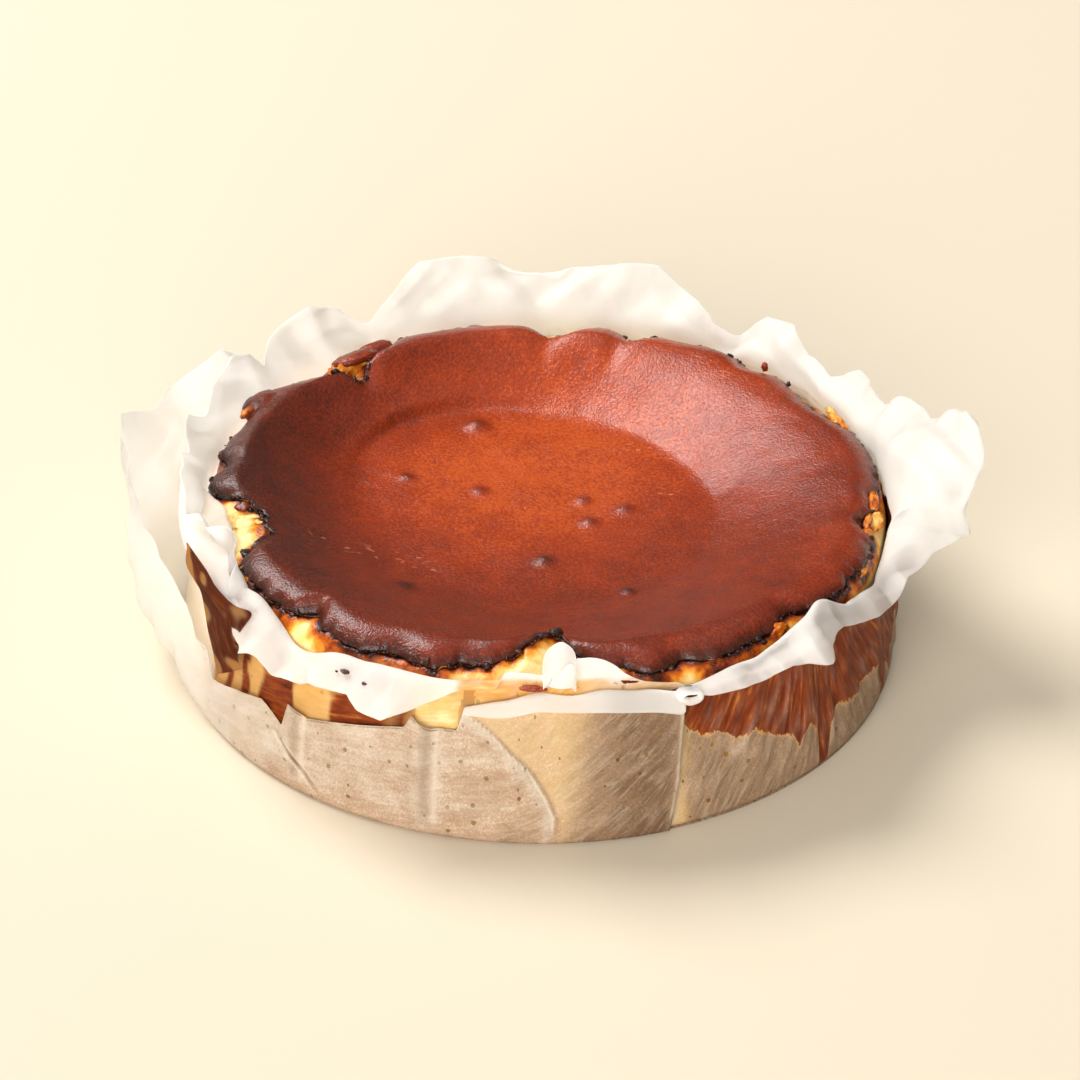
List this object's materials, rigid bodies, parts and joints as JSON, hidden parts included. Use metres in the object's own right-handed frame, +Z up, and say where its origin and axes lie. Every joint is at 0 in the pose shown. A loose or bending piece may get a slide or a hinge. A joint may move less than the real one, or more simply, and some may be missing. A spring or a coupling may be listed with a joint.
{
  "type": "basque cheesecake",
  "caption": "Round burnt-top cheesecake with a sunken middle and a ragged crust, standing in crumpled sheets of baking paper.",
  "frame": {"origin": "middle of the foot, on the surface that the cake stands on", "axes": "+Z up, -Y towards the front, where the outer sheet's folded strip is, and +X towards the right"},
  "size_m": [0.2386, 0.2067, 0.0701],
  "materials": {
    "cake": "burnt brown crust over pale yellow baked custard, satin on top",
    "inner_paper": "off-white baking paper, translucent, stained brown by fat where the cake shows through",
    "outer_paper": "off-white baking paper, translucent and crumpled"
  },
  "bodies": {
    "root": {"cake": "cake", "inner_paper": "inner_paper", "outer_paper": "outer_paper"}
  },
  "joints": []
}
